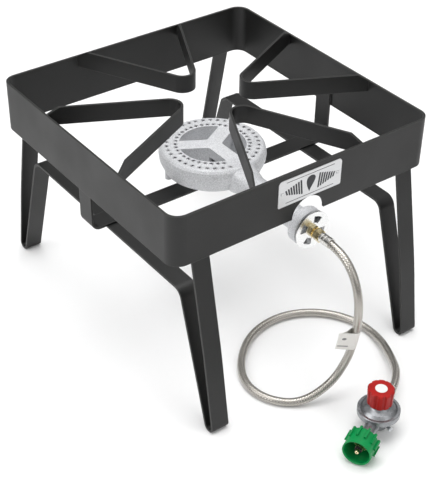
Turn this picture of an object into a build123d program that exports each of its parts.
"""Outdoor gas burner stand: square rim on splayed strap legs, ring burner, hose and regulator.

Millimetres, +Z up. The origin is the centre of the base, at floor level. The burner's
air inlet, the hose and the regulator are at the front, which is the -Y side.
"""

from build123d import *
import math
import os

os.makedirs("parts", exist_ok=True)

# ---------------------------------------------------------------- driving dimensions
# Stand
rim_side = 406.4  # outside of the square rim
rim_height = 71.0
rim_top = 317.5
strap = 3.0  # thickness of every flat bar
rim_corner = 19.0  # outside radius of the rim's corners
notch_radius = 25.4  # half-round notch for the burner's air inlet
leg_width = 25.4
leg_inset = 26.4  # rim's outer face to the leg strip's outer edge
foot_reach = 45.3  # how far the foot stands outside the rim
foot_gap = 14.1  # outer strand to inner strand at the floor
foot_bend = 6.6
knee_bend = 15.0
leg_bow = 2.6  # outward bow of the outer strand
shelf_height = 189.3  # top of the legs' level run, which carries the crossbar
knee_reach = 176.9
crossbar_width = 28.0
crossbar_bend = 12.0
crossbar_weld = 29.5  # overlap of the crossbar's hanger on the rim

# Pot supports
support_height = 25.4
support_proud = 10.0  # how far the supports stand above the rim
support_spread = 85.0  # half the width of a support where it meets the rim
support_angle = 26.6  # each arm's angle from the support's middle line
support_bend = 17.0
support_clip = (14.0, 10.0)  # clipped end corner: along the arm, and down

# Name plate
plate_size = (100.0, 38.0)
plate_thickness = 0.8
plate_middle = 291.6
plate_corners = (5.5, 2.0)  # upper and lower corner radii
rivet_spacing = 88.0
rivet_radius = 1.3
rivet_head = 2.3

# Burner
burner_y = -3.0
burner_top = 247.3
burner_depth = 40.3
ring_inner = 46.0
ring_outer = 73.6
ring_wall = 4.0
ring_top_radius = 69.6
spoke_width = 21.0
hub_radius = 13.0
pedestal_radius = 12.0
tube_height = 227.0  # axis of the mixing tube
tube_radius = 16.4
tube_bore = 12.4
bell_start = 189.0
bell_lip = 200.0
bell_face = 209.0
bell_radius = 25.3
bell_wall = 3.0
boss_radius = 8.5
port_radius = 1.5
outer_port_circle = 62.3
inner_port_circle = 50.6
port_count = 38
port_gap_angle = 24.0  # arc left undrilled over the mixing tube
lug_circle = 60.0
lug_radius = 5.0

# Gas fittings on the mixing tube's axis
shutter_radius = 26.4
shutter_thickness = 1.0
shutter_back = 213.4
shank_radius = 5.0
running_fit = 0.06
hex_size = 14.3
hex_start = 214.6
hex_length = 5.0
thread_radius = 5.55
thread_end = 228.5
flare_nut_start = 222.5
flare_nut_end = 232.0
ferrule_length = 17.5
ferrule_radius = 6.8
stem_radius = 4.2
hose_start = 234.0

# Regulator, standing on the floor in front of the stand
regulator_x = 3.0
regulator_y = -359.5
outlet_angle = 26.5
port_height = 20.9  # inlet and outlet axis above the floor
body_radius = 27.6
flange_low = 26.8
diaphragm_low = 30.0
bonnet_low = 31.0
lip_top = 34.4
bonnet_radius = 25.1
tower_radius = 13.2
tower_top = 61.0
tower_wall = 2.0
screw_radius = 3.42
knob_radius = 17.4
knob_foot = 16.2
knob_low = 45.0
knob_top = 67.5
knob_flutes = 10
badge_radius = 7.8
inlet_reach = 42.0
outlet_reach = 30.0
nut_start = 46.5
nut_mouth = 74.5
nut_radius = 18.8
nut_rib_radius = 21.2
nut_bore = 16.6
nut_ribs = 12
nut_rib_length = 17.0
nipple_collar = 8.0
nose_radius = 2.6

# Hose
hose_radius = 5.5
hose_points = [
    (0, -234, 227),
    (0, -263, 227),
    (-1, -291, 213),
    (-3, -309, 186),
    (-3, -313, 148),
    (6, -300, 105),
    (9, -290, 64),
    (-12, -285, 27),
    (-53, -274, 5.5),
    (-84, -244, 5.5),
    (-90, -202, 5.5),
    (-66, -160, 5.5),
    (-20, -125, 5.5),
    (36, -118, 5.5),
    (85, -140, 5.5),
    (116, -182, 5.5),
    (122, -227, 5.5),
    (103, -274, 15),
]
arc_share = 0.45
tag_size = (40.0, 27.5)
tag_thickness = 0.5
tag_start = 149.0  # distance along the hose from the burner end
tag_direction = (-0.8, 0.6, 0)

# ---------------------------------------------------------------- derived sizes and frames
rim_bottom = rim_top - rim_height
rim_half = rim_side / 2
rim_inside = rim_half - strap
leg_middle = rim_half - leg_inset - leg_width / 2
support_top = rim_top + support_proud
burner_bottom = burner_top - burner_depth
shelf_top = shelf_height + strap
ferrule_start = hose_start - 1.7

tube_axis = Axis((0, 0, tube_height), (0, -1, 0))
tube_frame = Plane(origin=(0, 0, tube_height), x_dir=(1, 0, 0), z_dir=(0, -1, 0))
tube_profile = Plane(origin=(0, 0, tube_height), x_dir=(0, -1, 0), z_dir=(1, 0, 0))
burner_frame = Plane(origin=(0, burner_y, 0), x_dir=(1, 0, 0), z_dir=(0, 0, 1))
burner_profile = Plane(origin=(0, burner_y, 0), x_dir=(1, 0, 0), z_dir=(0, -1, 0))
burner_axis = Axis((0, burner_y, 0), (0, 0, 1))

turn = math.radians(outlet_angle)
outward = Vector(math.cos(turn), math.sin(turn), 0)
regulator_base = Vector(regulator_x, regulator_y, 0)
port_centre = regulator_base + Vector(0, 0, port_height)
regulator_frame = Plane(origin=regulator_base, x_dir=outward, z_dir=(0, 0, 1))
regulator_profile = Plane(origin=regulator_base, x_dir=outward, z_dir=-regulator_frame.y_dir)
regulator_axis = Axis(regulator_base, (0, 0, 1))
outlet_frame = Plane(origin=port_centre, x_dir=(0, 0, 1), z_dir=outward)
inlet_frame = Plane(origin=port_centre, x_dir=(0, 0, 1), z_dir=-outward)
port_profile = Plane(origin=port_centre, x_dir=-outward, z_dir=regulator_frame.y_dir)
port_axis = Axis(port_centre, -outward)

hose_end = port_centre + outward * (outlet_reach + 8)
last_corner = port_centre + outward * 80.0


def outline(plane, points):
    """A closed straight-sided face drawn on a plane."""
    with BuildSketch(plane) as drawn:
        with BuildLine():
            Polyline(*points, close=True)
        make_face()
    return drawn.sketch


def ribbon(plane, points, radii):
    """The edge-on shape of a flat bar bent along a path of straight runs and arcs."""
    with BuildSketch(plane) as drawn:
        with BuildLine():
            FilletPolyline(*points, radius=radii)
        trace(line_width=strap)
    return drawn.sketch


def save(builder, label):
    """Labels a finished piece and writes it to its own file."""
    builder.part.label = label
    export_step(builder.part, f"parts/{label}.step")


def coil_spring(base, direction, coil_radius, wire_radius, length, turns):
    """A round-wire compression spring standing on a base point."""
    pitch = (length - 2 * wire_radius) / turns
    start = base + direction * wire_radius
    frame = Plane(origin=start, z_dir=direction)
    path = frame.location * Helix(pitch, pitch * turns, coil_radius)
    wire_frame = Plane(origin=path @ 0, z_dir=path % 0)
    section = wire_frame.location * Circle(wire_radius)
    return sweep(section, path=path)


# ---------------------------------------------------------------- rim
with BuildPart() as rim_band:
    with BuildSketch(Plane.XY.offset(rim_bottom)):
        RectangleRounded(rim_side, rim_side, rim_corner)
        RectangleRounded(
            rim_side - 2 * strap, rim_side - 2 * strap, rim_corner - strap, mode=Mode.SUBTRACT
        )
    extrude(amount=rim_height)
    # Half-round notch in the front wall's lower edge
    with BuildSketch(Plane.XZ.offset(rim_inside - strap)):
        with Locations((0, rim_bottom)):
            Circle(notch_radius)
    extrude(amount=3 * strap, mode=Mode.SUBTRACT)
    # Rivet holes for the name plate
    with BuildSketch(Plane.XZ.offset(rim_inside - strap)):
        with Locations((0, plate_middle)):
            with GridLocations(rivet_spacing, 1, 2, 1):
                Circle(rivet_radius)
    extrude(amount=3 * strap, mode=Mode.SUBTRACT)
save(rim_band, "rim_band")

# ---------------------------------------------------------------- pot supports
support_reach = rim_inside + 20
apex_y = rim_inside - support_spread / math.tan(math.radians(support_angle))
arm_x = (support_reach - apex_y) * math.tan(math.radians(support_angle))
for side, turned in (("back", 0), ("left", 90), ("front", 180), ("right", 270)):
    base = Plane.XY.offset(support_top - support_height).rotated((0, 0, turned))
    end_view = Plane(
        origin=(0, 0, 0), x_dir=base.y_dir, z_dir=base.x_dir
    )
    with BuildPart() as support:
        with BuildSketch(base):
            with BuildLine():
                FilletPolyline(
                    (-arm_x, support_reach), (0, apex_y), (arm_x, support_reach), radius=support_bend
                )
            trace(line_width=strap)
            Rectangle(2 * rim_inside, 2 * rim_inside, mode=Mode.INTERSECT)
        extrude(amount=support_height)
        # Clipped upper corners where the arms meet the rim
        clip = outline(
            end_view,
            [
                (rim_inside - support_clip[0], support_top),
                (rim_inside, support_top - support_clip[1]),
                (rim_inside + 1, support_top - support_clip[1]),
                (rim_inside + 1, support_top + 1),
                (rim_inside - support_clip[0], support_top + 1),
            ],
        )
        extrude(clip, amount=2 * support_spread, both=True, mode=Mode.SUBTRACT)
    save(support, f"pot_support_{side}")

# ---------------------------------------------------------------- leg strips
strand_y = rim_half - strap / 2
foot_y = rim_half + foot_reach
level_z = shelf_height - strap / 2
bow_z = rim_bottom * 0.45
bow_y = strand_y + (foot_y - strand_y) * (rim_bottom - bow_z) / rim_bottom + leg_bow
slope = (bow_y - strand_y) / (rim_bottom - bow_z)
half_path = [
    (strand_y - 2 * slope, rim_bottom + 2),
    (bow_y, bow_z),
    (foot_y, strap / 2),
    (foot_y - foot_gap, strap / 2),
    (knee_reach, level_z),
]
leg_path = [(-y, z) for y, z in half_path] + list(reversed(half_path))
half_radii = [800.0, foot_bend, foot_bend, knee_bend]
leg_radii = half_radii + list(reversed(half_radii))
for side, sign in (("left", -1), ("right", 1)):
    leg_plane = Plane.YZ.offset(sign * leg_middle)
    with BuildPart() as leg_strip:
        extrude(ribbon(leg_plane, leg_path, leg_radii), amount=leg_width / 2, both=True)
        # The ends are cut level, to butt against the rim's lower edge
        split(bisect_by=Plane.XY.offset(rim_bottom), keep=Keep.BOTTOM)
    save(leg_strip, f"leg_strip_{side}")

# ---------------------------------------------------------------- crossbar under the burner
bolt_radius = 3.9
bolt_hole = 4.4
hanger_x = rim_inside - strap / 2
hanger_top = rim_bottom + crossbar_weld
bar_z = shelf_height + strap / 2
crossbar_path = [
    (-hanger_x, hanger_top),
    (-hanger_x, bar_z),
    (hanger_x, bar_z),
    (hanger_x, hanger_top),
]
with BuildPart() as burner_crossbar:
    extrude(
        ribbon(Plane.XZ, crossbar_path, [crossbar_bend, crossbar_bend]),
        amount=crossbar_width / 2,
        both=True,
    )
    with BuildSketch(burner_frame.offset(shelf_height - 1)):
        Circle(bolt_hole)
    extrude(amount=strap + 2, mode=Mode.SUBTRACT)
save(burner_crossbar, "burner_crossbar")

# ---------------------------------------------------------------- name plate and its rivets
with BuildPart() as name_plate:
    with BuildSketch(Plane.XZ.offset(rim_half)):
        with Locations((0, plate_middle)):
            Rectangle(*plate_size)
            with GridLocations(rivet_spacing, 1, 2, 1):
                Circle(rivet_radius, mode=Mode.SUBTRACT)
    extrude(amount=plate_thickness)
    upright = name_plate.edges().filter_by(Axis.Y).filter_by(GeomType.LINE)
    fillet(upright.group_by(Axis.Z)[-1], plate_corners[0])
    upright = name_plate.edges().filter_by(Axis.Y).filter_by(GeomType.LINE)
    fillet(upright.group_by(Axis.Z)[0], plate_corners[1])
save(name_plate, "name_plate")

with BuildPart() as plate_rivets:
    with BuildSketch(Plane.XZ.offset(rim_inside)):
        with Locations((0, plate_middle)):
            with GridLocations(rivet_spacing, 1, 2, 1):
                Circle(rivet_radius)
    extrude(amount=strap + plate_thickness)
    with BuildSketch(Plane.XZ.offset(rim_half + plate_thickness)):
        with Locations((0, plate_middle)):
            with GridLocations(rivet_spacing, 1, 2, 1):
                Circle(rivet_head)
    extrude(amount=1.0, taper=25)
save(plate_rivets, "plate_rivets")

# ---------------------------------------------------------------- burner casting
body_z = burner_bottom
ring_points = [
    (ring_inner, body_z),
    (ring_outer - 17, body_z),
    (ring_outer - 7, body_z + 7),
    (ring_outer - 1, body_z + 21),
    (ring_outer, body_z + 29),
    (ring_outer - 1.6, burner_top - 4),
    (ring_top_radius, burner_top - 1),
    (ring_top_radius - 2, burner_top),
    (ring_inner, burner_top),
]
channel_points = [
    (ring_inner + ring_wall, body_z + ring_wall),
    (ring_outer - 18, body_z + ring_wall),
    (ring_outer - 11, body_z + 9),
    (ring_outer - 5, body_z + 22),
    (ring_outer - 5.5, burner_top - ring_wall - 1),
    (ring_outer - 8, burner_top - ring_wall),
    (ring_inner + ring_wall, burner_top - ring_wall),
]
spoke_angles = (30, 150, 270)
bell_outer = [
    (60, 0),
    (60, tube_radius),
    (bell_start, tube_radius),
    (bell_start + 3, bell_radius - 3.3),
    (bell_start + 7, bell_radius),
    (bell_face, bell_radius),
    (bell_face, 0),
]
bell_inner = [
    (10, 0),
    (10, tube_bore),
    (bell_start + 4, tube_bore),
    (bell_start + 7.5, bell_radius - bell_wall - 3),
    (bell_lip, bell_radius - bell_wall),
    (bell_face, bell_radius - bell_wall),
    (bell_face, 0),
]
with BuildPart() as burner_casting:
    # Ring, hub and the three hollow spokes
    revolve(outline(burner_profile, ring_points), axis=burner_axis)
    with BuildSketch(burner_frame.offset(body_z + 1)):
        Circle(hub_radius)
        for angle in spoke_angles:
            with Locations(Location((0, 0, 0), (0, 0, angle))):
                Rectangle(ring_inner + 2, spoke_width, align=(Align.MIN, Align.CENTER))
    extrude(amount=burner_top - body_z - 1)
    # Tapered neck where the mixing tube meets the ring, then the tube and its bell mouth
    with BuildSketch(tube_frame.offset(66 - burner_y)):
        RectangleRounded(44, 36, 12)
    with BuildSketch(tube_frame.offset(98)):
        Circle(tube_radius)
    loft()
    revolve(outline(tube_profile, bell_outer), axis=tube_axis)
    # Pedestal on the crossbar, and two cast lugs under the ring
    with BuildSketch(burner_frame.offset(shelf_top)):
        Circle(pedestal_radius)
    extrude(amount=body_z + 8 - shelf_top)
    with BuildSketch(burner_frame.offset(shelf_top + 3)):
        with Locations(*[Location(Vector(lug_circle, 0, 0).rotate(Axis.Z, a)) for a in (30, 150)]):
            Circle(lug_radius)
    extrude(amount=body_z + 4 - shelf_top)
    # Gas passages
    revolve(outline(burner_profile, channel_points), axis=burner_axis, mode=Mode.SUBTRACT)
    with BuildSketch(burner_frame.offset(body_z + 9)):
        Circle(hub_radius - ring_wall)
        for angle in spoke_angles:
            with Locations(Location((0, 0, 0), (0, 0, angle))):
                Rectangle(
                    ring_inner + ring_wall + 1,
                    spoke_width - 2 * ring_wall,
                    align=(Align.MIN, Align.CENTER),
                )
    extrude(amount=burner_top - ring_wall - body_z - 9, mode=Mode.SUBTRACT)
    revolve(outline(tube_profile, bell_inner), axis=tube_axis, mode=Mode.SUBTRACT)
    # Spider in the bell mouth, which holds the gas fitting
    with BuildSketch(tube_frame.offset(bell_lip + 1)):
        Circle(boss_radius)
        for angle in (0, 90, 180, 270):
            with Locations(Location((0, 0, 0), (0, 0, angle))):
                Rectangle(bell_radius - bell_wall + 0.5, 6, align=(Align.MIN, Align.CENTER))
        Circle(shank_radius, mode=Mode.SUBTRACT)
    extrude(amount=bell_face - bell_lip - 1)
    # Flame ports in two rings, left out over the mixing tube
    port_step = 360 / port_count
    port_places = []
    for index in range(port_count):
        outer_angle = -90 + port_step * (index + 0.5)
        inner_angle = -90 + port_step * index
        if abs(outer_angle + 90) > port_gap_angle / 2 and abs(outer_angle - 270) > port_gap_angle / 2:
            port_places.append(Vector(outer_port_circle, 0, 0).rotate(Axis.Z, outer_angle))
        if abs(inner_angle + 90) > port_gap_angle / 2 and abs(inner_angle - 270) > port_gap_angle / 2:
            port_places.append(Vector(inner_port_circle, 0, 0).rotate(Axis.Z, inner_angle))
    with BuildSketch(burner_frame.offset(burner_top - ring_wall - 2)):
        with Locations(*port_places):
            Circle(port_radius)
    extrude(amount=ring_wall + 4, mode=Mode.SUBTRACT)
    # Tapped hole for the burner bolt
    with BuildSketch(burner_frame.offset(shelf_top - 1)):
        Circle(bolt_radius)
    extrude(amount=15, mode=Mode.SUBTRACT)
save(burner_casting, "burner_casting")

# ---------------------------------------------------------------- burner bolt and washer
washer_thickness = 1.5
with BuildPart() as burner_bolt:
    with BuildSketch(burner_frame.offset(shelf_height - washer_thickness - 5.3)):
        RegularPolygon(12.7 / 2, 6, major_radius=False)
    extrude(amount=5.3)
    with BuildSketch(burner_frame.offset(shelf_height - washer_thickness)):
        Circle(bolt_radius)
    extrude(amount=washer_thickness + strap + 13.5)
save(burner_bolt, "burner_bolt")

with BuildPart() as lock_washer:
    with BuildSketch(burner_frame.offset(shelf_height - washer_thickness)):
        Circle(7.2)
        Circle(bolt_radius + 0.2, mode=Mode.SUBTRACT)
        with Locations((5.8, 0)):
            Rectangle(4, 0.8, mode=Mode.SUBTRACT)
    extrude(amount=washer_thickness)
save(lock_washer, "lock_washer")

# ---------------------------------------------------------------- gas jet and orifice fitting
fitting_start = 192.0
with BuildPart() as gas_jet:
    revolve(
        outline(tube_profile, [(185, 0.5), (185, 2.0), (187, 3.2), (192, 3.2), (192, 0.5)]),
        axis=tube_axis,
    )
save(gas_jet, "gas_jet")

with BuildPart() as orifice_fitting:
    revolve(
        outline(
            tube_profile,
            [
                (fitting_start, 0),
                (fitting_start, shank_radius),
                (hex_start, shank_radius),
                (hex_start + hex_length, shank_radius),
                (hex_start + hex_length, 4.6),
                (flare_nut_start - 0.5, 4.6),
                (flare_nut_start - 0.5, thread_radius),
                (thread_end - 2, thread_radius),
                (thread_end, 3.4),
                (thread_end, 0),
            ],
        ),
        axis=tube_axis,
    )
    with BuildSketch(tube_frame.offset(hex_start)):
        RegularPolygon(hex_size / 2, 6, major_radius=False)
    extrude(amount=hex_length)
    with BuildSketch(tube_frame.offset(fitting_start)):
        Circle(2.2)
    extrude(amount=thread_end - fitting_start, mode=Mode.SUBTRACT)
save(orifice_fitting, "orifice_fitting")

# ---------------------------------------------------------------- air shutter and its spacer
with BuildPart() as shutter_spacer:
    with BuildSketch(tube_frame.offset(bell_face)):
        Circle(boss_radius - 0.5)
        Circle(shank_radius + running_fit, mode=Mode.SUBTRACT)
    extrude(amount=shutter_back - 0.2 - bell_face)
save(shutter_spacer, "shutter_spacer")

slot_inner = 11.0
slot_outer = 20.0
slot_span = 40.0
with BuildPart() as air_shutter:
    with BuildSketch(tube_frame.offset(shutter_back)):
        Circle(shutter_radius)
        Circle(shank_radius + running_fit, mode=Mode.SUBTRACT)
        for quarter in range(4):
            middle = 65 + 90 * quarter
            with BuildLine():
                first = math.radians(middle - slot_span / 2)
                last = math.radians(middle + slot_span / 2)
                CenterArc((0, 0), slot_outer, middle - slot_span / 2, slot_span)
                CenterArc((0, 0), slot_inner, middle - slot_span / 2, slot_span)
                for ray in (first, last):
                    Line(
                        (slot_inner * math.cos(ray), slot_inner * math.sin(ray)),
                        (slot_outer * math.cos(ray), slot_outer * math.sin(ray)),
                    )
            make_face(mode=Mode.SUBTRACT)
    extrude(amount=shutter_thickness)
save(air_shutter, "air_shutter")

# ---------------------------------------------------------------- flare nut, hose stem, ferrule
with BuildPart() as flare_nut:
    with BuildSketch(tube_frame.offset(flare_nut_start)):
        RegularPolygon(hex_size / 2, 6, major_radius=False)
        Circle(thread_radius + running_fit, mode=Mode.SUBTRACT)
    extrude(amount=flare_nut_end - 2.3 - flare_nut_start)
    with BuildSketch(tube_frame.offset(flare_nut_end - 2.3)):
        RegularPolygon(hex_size / 2, 6, major_radius=False)
        Circle(stem_radius + running_fit, mode=Mode.SUBTRACT)
    extrude(amount=2.3)
save(flare_nut, "flare_nut")

with BuildPart() as hose_stem:
    revolve(
        outline(
            tube_profile,
            [
                (thread_end, 2.2),
                (thread_end, 5.2),
                (thread_end + 1.0, 5.2),
                (thread_end + 1.0, stem_radius),
                (hose_start, stem_radius),
                (hose_start, 2.2),
            ],
        ),
        axis=tube_axis,
    )
save(hose_stem, "hose_stem")


def ferrule_profile(plane, closed_end):
    """A crimped sleeve: end wall on the stem, hose inside, two crimp grooves."""
    wall = closed_end + 1.7
    far = closed_end + ferrule_length
    groove = ferrule_radius - 0.6
    return outline(
        plane,
        [
            (closed_end, stem_radius),
            (closed_end, ferrule_radius),
            (closed_end + 3, ferrule_radius),
            (closed_end + 3.8, groove),
            (closed_end + 5.4, groove),
            (closed_end + 6.2, ferrule_radius),
            (closed_end + 8.2, ferrule_radius),
            (closed_end + 9, groove),
            (closed_end + 10.6, groove),
            (closed_end + 11.4, ferrule_radius),
            (far, ferrule_radius),
            (far, hose_radius),
            (wall, hose_radius),
            (wall, stem_radius),
        ],
    )


with BuildPart() as ferrule_burner_end:
    revolve(ferrule_profile(tube_profile, ferrule_start), axis=tube_axis)
save(ferrule_burner_end, "ferrule_burner_end")

# ---------------------------------------------------------------- hose
route = [Vector(*point) for point in hose_points] + [last_corner, hose_end]
runs = [(route[i + 1] - route[i]).length for i in range(len(route) - 1)]
radii = []
for i in range(1, len(route) - 1):
    bend = (route[i] - route[i - 1]).get_angle(route[i + 1] - route[i])
    shorter = min(runs[i - 1], runs[i])
    radii.append(arc_share * shorter / math.tan(math.radians(bend / 2)))
print("hose radii", [round(radius, 1) for radius in radii])
with BuildPart() as hose:
    with BuildLine() as hose_line:
        FilletPolyline(*route, radius=radii)
    with BuildSketch(Plane(origin=route[0], z_dir=(0, -1, 0))):
        Circle(hose_radius)
    sweep(path=hose_line.wires()[0])
hose_length = hose_line.wires()[0].length
print("hose length", round(hose_length, 1))
print("hose volume ratio", round(hose.part.volume / (hose_length * math.pi * hose_radius**2), 4))
save(hose, "hose")

# ---------------------------------------------------------------- label folded round the hose
hose_wire = hose_line.wires()[0]
tag_path = hose_wire.trim(tag_start / hose_length, (tag_start + tag_size[0]) / hose_length)
tag_frame = Plane(origin=tag_path @ 0, x_dir=tag_direction, z_dir=tag_path % 0)
with BuildPart() as hose_tag:
    with BuildSketch(tag_frame):
        Circle(hose_radius + 0.05 + tag_thickness)
        with Locations((hose_radius, 0)):
            Rectangle(
                tag_size[1] - 2 * hose_radius,
                2 * tag_thickness,
                align=(Align.MIN, Align.CENTER),
            )
        Circle(hose_radius + 0.05, mode=Mode.SUBTRACT)
    sweep(path=tag_path)
save(hose_tag, "hose_tag")

# ---------------------------------------------------------------- regulator body
chamber_radius = 18.0
chamber_low = 27.0
lip_inner = 23.8
valve_bore = 5.0
plug_top = 8.0
body_points = [
    (0, 3),
    (9, 3),
    (13, 6),
    (15, 14),
    (20, 21),
    (25, 26),
    (body_radius, flange_low),
    (body_radius, lip_top - 0.6),
    (body_radius - 0.6, lip_top),
    (lip_inner, lip_top),
    (lip_inner, lip_top - 0.9),
    (bonnet_radius + 0.05, lip_top - 0.9),
    (bonnet_radius + 0.05, diaphragm_low),
    (chamber_radius, diaphragm_low),
    (chamber_radius, chamber_low),
    (0, chamber_low),
]
screw_direction = Vector(1, 0, 0).rotate(Axis.Z, -99.5)
port_screw_frame = Plane(origin=port_centre, z_dir=screw_direction)
with BuildPart() as regulator_body:
    revolve(outline(regulator_profile, body_points), axis=regulator_axis)
    with BuildSketch(inlet_frame.offset(13)):
        Circle(9.5)
    extrude(amount=inlet_reach - 13)
    with BuildSketch(outlet_frame.offset(13)):
        Circle(8.6)
    extrude(amount=outlet_reach - 13)
    # Keep the bosses out of the diaphragm chamber
    with BuildSketch(regulator_frame.offset(chamber_low)):
        Circle(chamber_radius)
    extrude(amount=diaphragm_low - chamber_low, mode=Mode.SUBTRACT)
    with BuildSketch(regulator_frame.offset(diaphragm_low)):
        Circle(bonnet_radius + 0.05)
    extrude(amount=lip_top - 0.9 - diaphragm_low, mode=Mode.SUBTRACT)
    # Valve bore, inlet and outlet passages
    with BuildSketch(regulator_frame.offset(1)):
        Circle(valve_bore)
    extrude(amount=chamber_low, mode=Mode.SUBTRACT)
    with BuildSketch(inlet_frame):
        Circle(3.2)
    extrude(amount=inlet_reach + 1, mode=Mode.SUBTRACT)
    with BuildSketch(inlet_frame.offset(18)):
        Circle(6.0)
    extrude(amount=inlet_reach, mode=Mode.SUBTRACT)
    with BuildSketch(outlet_frame.offset(11)):
        Circle(3.2)
    extrude(amount=outlet_reach, mode=Mode.SUBTRACT)
    with BuildSketch(outlet_frame.offset(20)):
        Circle(5.5)
    extrude(amount=outlet_reach, mode=Mode.SUBTRACT)
    with BuildSketch(regulator_frame.offset(port_height)):
        with Locations((13.5, 0)):
            Circle(2.5)
    extrude(amount=chamber_low - port_height + 1, mode=Mode.SUBTRACT)
    with BuildSketch(port_screw_frame.offset(16)):
        Circle(2.4)
    extrude(amount=20, mode=Mode.SUBTRACT)
save(regulator_body, "regulator_body")

with BuildPart() as port_screw:
    with BuildSketch(port_screw_frame.offset(16)):
        Circle(2.4)
    extrude(amount=11)
    with BuildSketch(port_screw_frame.offset(27)):
        Circle(3.0)
    extrude(amount=2)
save(port_screw, "port_screw")

with BuildPart() as bottom_plug:
    with BuildSketch(regulator_frame.offset(1)):
        RegularPolygon(6.5, 6, major_radius=False)
    extrude(amount=2)
    with BuildSketch(regulator_frame.offset(3)):
        Circle(valve_bore)
    extrude(amount=plug_top - 3)
save(bottom_plug, "bottom_plug")

# ---------------------------------------------------------------- regulator valve
seat_low = 25.4
with BuildPart() as valve_seat:
    with BuildSketch(regulator_frame.offset(seat_low)):
        Circle(valve_bore)
        Circle(2.2, mode=Mode.SUBTRACT)
    extrude(amount=chamber_low - seat_low)
save(valve_seat, "valve_seat")

with BuildPart() as valve_poppet:
    revolve(
        outline(
            regulator_profile,
            [
                (0, 12),
                (1.6, 12),
                (1.6, 20),
                (3.6, 20),
                (3.6, 24.6),
                (2.6, seat_low - 0.1),
                (1.2, seat_low - 0.1),
                (1.2, 29.6),
                (0, 29.6),
            ],
        ),
        axis=regulator_axis,
    )
save(valve_poppet, "valve_poppet")

poppet_spring = Part() + coil_spring(
    regulator_base + Vector(0, 0, plug_top), Vector(0, 0, 1), 2.6, 0.4, 20 - plug_top - 0.1, 5
)
poppet_spring.label = "poppet_spring"
export_step(poppet_spring, "parts/poppet_spring.step")

# ---------------------------------------------------------------- diaphragm and its plate
plate_boss = 3.0
with BuildPart() as diaphragm:
    with BuildSketch(regulator_frame.offset(diaphragm_low)):
        Circle(bonnet_radius)
        Circle(plate_boss + 0.1, mode=Mode.SUBTRACT)
    extrude(amount=bonnet_low - diaphragm_low)
save(diaphragm, "diaphragm")

spring_foot = bonnet_low + 1.6
with BuildPart() as diaphragm_plate:
    with BuildSketch(regulator_frame.offset(bonnet_low + 0.1)):
        Circle(12.0)
    extrude(amount=spring_foot - bonnet_low - 0.1)
    with BuildSketch(regulator_frame.offset(29.6)):
        Circle(plate_boss)
    extrude(amount=bonnet_low + 0.1 - 29.6)
save(diaphragm_plate, "diaphragm_plate")

# ---------------------------------------------------------------- bonnet
screw_hole = screw_radius + running_fit
with BuildPart() as regulator_bonnet:
    revolve(
        outline(
            regulator_profile,
            [
                (bonnet_radius, bonnet_low),
                (bonnet_radius, lip_top - 0.9),
                (lip_inner - 0.5, lip_top - 0.9),
                (lip_inner - 1.2, lip_top - 0.3),
                (19.5, lip_top + 2.6),
                (tower_radius + 1.5, lip_top + 5.4),
                (tower_radius, lip_top + 7.0),
                (tower_radius, tower_top),
                (screw_hole, tower_top),
                (screw_hole, tower_top - tower_wall),
                (tower_radius - tower_wall, tower_top - tower_wall),
                (tower_radius - tower_wall, lip_top + 6.4),
                (tower_radius + 0.6, lip_top + 3.4),
                (18.4, lip_top + 0.6),
                (20.4, bonnet_low + 1.2),
                (20.4, bonnet_low),
            ],
        ),
        axis=regulator_axis,
    )
save(regulator_bonnet, "regulator_bonnet")

# ---------------------------------------------------------------- adjusting spring, seat, screw
seat_height = 50.2
regulating_spring = Part() + coil_spring(
    regulator_base + Vector(0, 0, spring_foot + 0.05),
    Vector(0, 0, 1),
    8.4,
    0.9,
    seat_height - spring_foot - 0.1,
    5,
)
regulating_spring.label = "regulating_spring"
export_step(regulating_spring, "parts/regulating_spring.step")

with BuildPart() as spring_seat:
    with BuildSketch(regulator_frame.offset(seat_height)):
        Circle(tower_radius - tower_wall - 0.4)
        Circle(screw_radius + running_fit, mode=Mode.SUBTRACT)
    extrude(amount=3.0)
save(spring_seat, "spring_seat")

collar_low = 56.0
with BuildPart() as adjusting_screw:
    with BuildSketch(regulator_frame.offset(44)):
        Circle(screw_radius)
    extrude(amount=knob_top - 3.5 - 44)
    with BuildSketch(regulator_frame.offset(collar_low)):
        Circle(5.6)
    extrude(amount=tower_top - tower_wall - 0.2 - collar_low)
save(adjusting_screw, "adjusting_screw")

# ---------------------------------------------------------------- knob and its badge
with BuildPart() as knob:
    revolve(
        outline(
            regulator_profile,
            [
                (0, knob_low),
                (knob_foot, knob_low),
                (knob_radius, knob_top - 1.5),
                (knob_radius - 1.5, knob_top),
                (0, knob_top),
            ],
        ),
        axis=regulator_axis,
    )
    with BuildSketch(regulator_frame.offset(knob_low)):
        with PolarLocations(knob_radius + 0.8, knob_flutes):
            Circle(3.0)
    extrude(amount=knob_top - knob_low, mode=Mode.SUBTRACT)
    with BuildSketch(regulator_frame.offset(knob_low)):
        Circle(tower_radius + 0.4)
    extrude(amount=tower_top + 0.3 - knob_low, mode=Mode.SUBTRACT)
    with BuildSketch(regulator_frame.offset(tower_top)):
        Circle(screw_radius)
    extrude(amount=knob_top - 3.5 - tower_top, mode=Mode.SUBTRACT)
    with BuildSketch(regulator_frame.offset(knob_top - 0.4)):
        Circle(badge_radius)
    extrude(amount=1, mode=Mode.SUBTRACT)
save(knob, "knob")

with BuildPart() as knob_badge:
    with BuildSketch(regulator_frame.offset(knob_top - 0.4)):
        Circle(badge_radius)
    extrude(amount=0.6)
save(knob_badge, "knob_badge")

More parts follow.
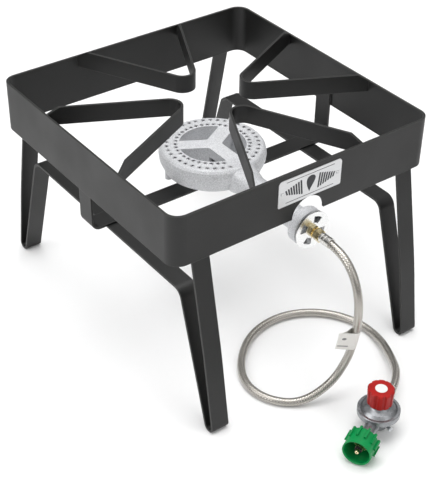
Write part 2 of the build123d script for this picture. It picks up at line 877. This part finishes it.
# ---------------------------------------------------------------- tank connector
nose_start = 66.5
flange_start = 51.0
with BuildPart() as inlet_nipple:
    revolve(
        outline(
            port_profile,
            [
                (18, 0),
                (18, 6.0),
                (inlet_reach, 6.0),
                (inlet_reach, nipple_collar),
                (flange_start, nipple_collar),
                (flange_start, 12.0),
                (flange_start + 3.5, 12.0),
                (flange_start + 3.5, 5.0),
                (nose_start, 5.0),
                (nose_start, nose_radius),
                (nut_mouth - 1.5, nose_radius),
                (nut_mouth - 1, nose_radius - 0.5),
                (nut_mouth - 1, 0),
            ],
        ),
        axis=port_axis,
    )
    with BuildSketch(inlet_frame.offset(18)):
        Circle(3.2)
    extrude(amount=nose_start - 3 - 18, mode=Mode.SUBTRACT)
    with BuildSketch(inlet_frame.offset(nose_start - 4)):
        Circle(0.9)
    extrude(amount=nut_mouth - nose_start + 5, mode=Mode.SUBTRACT)
save(inlet_nipple, "inlet_nipple")

with BuildPart() as nipple_seal:
    with BuildSketch(inlet_frame.offset(nose_start)):
        Circle(4.8)
        Circle(nose_radius, mode=Mode.SUBTRACT)
    extrude(amount=1.6)
save(nipple_seal, "nipple_seal")

with BuildPart() as flow_check:
    with BuildSketch(inlet_frame.offset(40)):
        RegularPolygon(3.0, 3)
    extrude(amount=6)
    with BuildSketch(inlet_frame.offset(46)):
        Circle(1.6)
    extrude(amount=3, taper=20)
save(flow_check, "flow_check")

# Drawn at its compressed length, so the check valve can travel to its stop
flow_check_spring = Part() + coil_spring(port_centre - outward * 30, -outward, 2.4, 0.3, 8.3, 5)
flow_check_spring.label = "flow_check_spring"
export_step(flow_check_spring, "parts/flow_check_spring.step")

nut_back = flange_start - 0.5
with BuildPart() as connector_nut:
    revolve(
        outline(
            port_profile,
            [
                (nut_start, nipple_collar + running_fit),
                (nut_start, nut_radius - 1.5),
                (nut_start + 1.5, nut_radius),
                (nut_mouth, nut_radius),
                (nut_mouth, nut_bore + 0.8),
                (nut_mouth - 1.2, nut_bore),
                (nut_back, nut_bore),
                (nut_back, nipple_collar + running_fit),
            ],
        ),
        axis=port_axis,
    )
    # Grip ribs, which stop short of the plain collar at the mouth
    with BuildSketch(inlet_frame.offset(nut_start)):
        with PolarLocations(0, nut_ribs, start_angle=180 / nut_ribs):
            with Locations((nut_radius - 2, 0)):
                Rectangle(nut_rib_radius - nut_radius + 2, 2.8, align=(Align.MIN, Align.CENTER))
    extrude(amount=nut_rib_length)
save(connector_nut, "connector_nut")

# ---------------------------------------------------------------- hose connection at the regulator
with BuildPart() as outlet_fitting:
    with BuildSketch(outlet_frame.offset(20)):
        Circle(5.5)
    extrude(amount=outlet_reach - 20)
    with BuildSketch(outlet_frame.offset(outlet_reach)):
        RegularPolygon(hex_size / 2, 6, major_radius=False)
    extrude(amount=6.3)
    with BuildSketch(outlet_frame.offset(outlet_reach + 6.3)):
        Circle(stem_radius)
    extrude(amount=1.7)
    with BuildSketch(outlet_frame.offset(20)):
        Circle(2.2)
    extrude(amount=18, mode=Mode.SUBTRACT)
save(outlet_fitting, "outlet_fitting")

outlet_profile = Plane(origin=port_centre, x_dir=outward, z_dir=-regulator_frame.y_dir)
with BuildPart() as ferrule_regulator_end:
    revolve(ferrule_profile(outlet_profile, outlet_reach + 6.3), axis=port_axis)
save(ferrule_regulator_end, "ferrule_regulator_end")
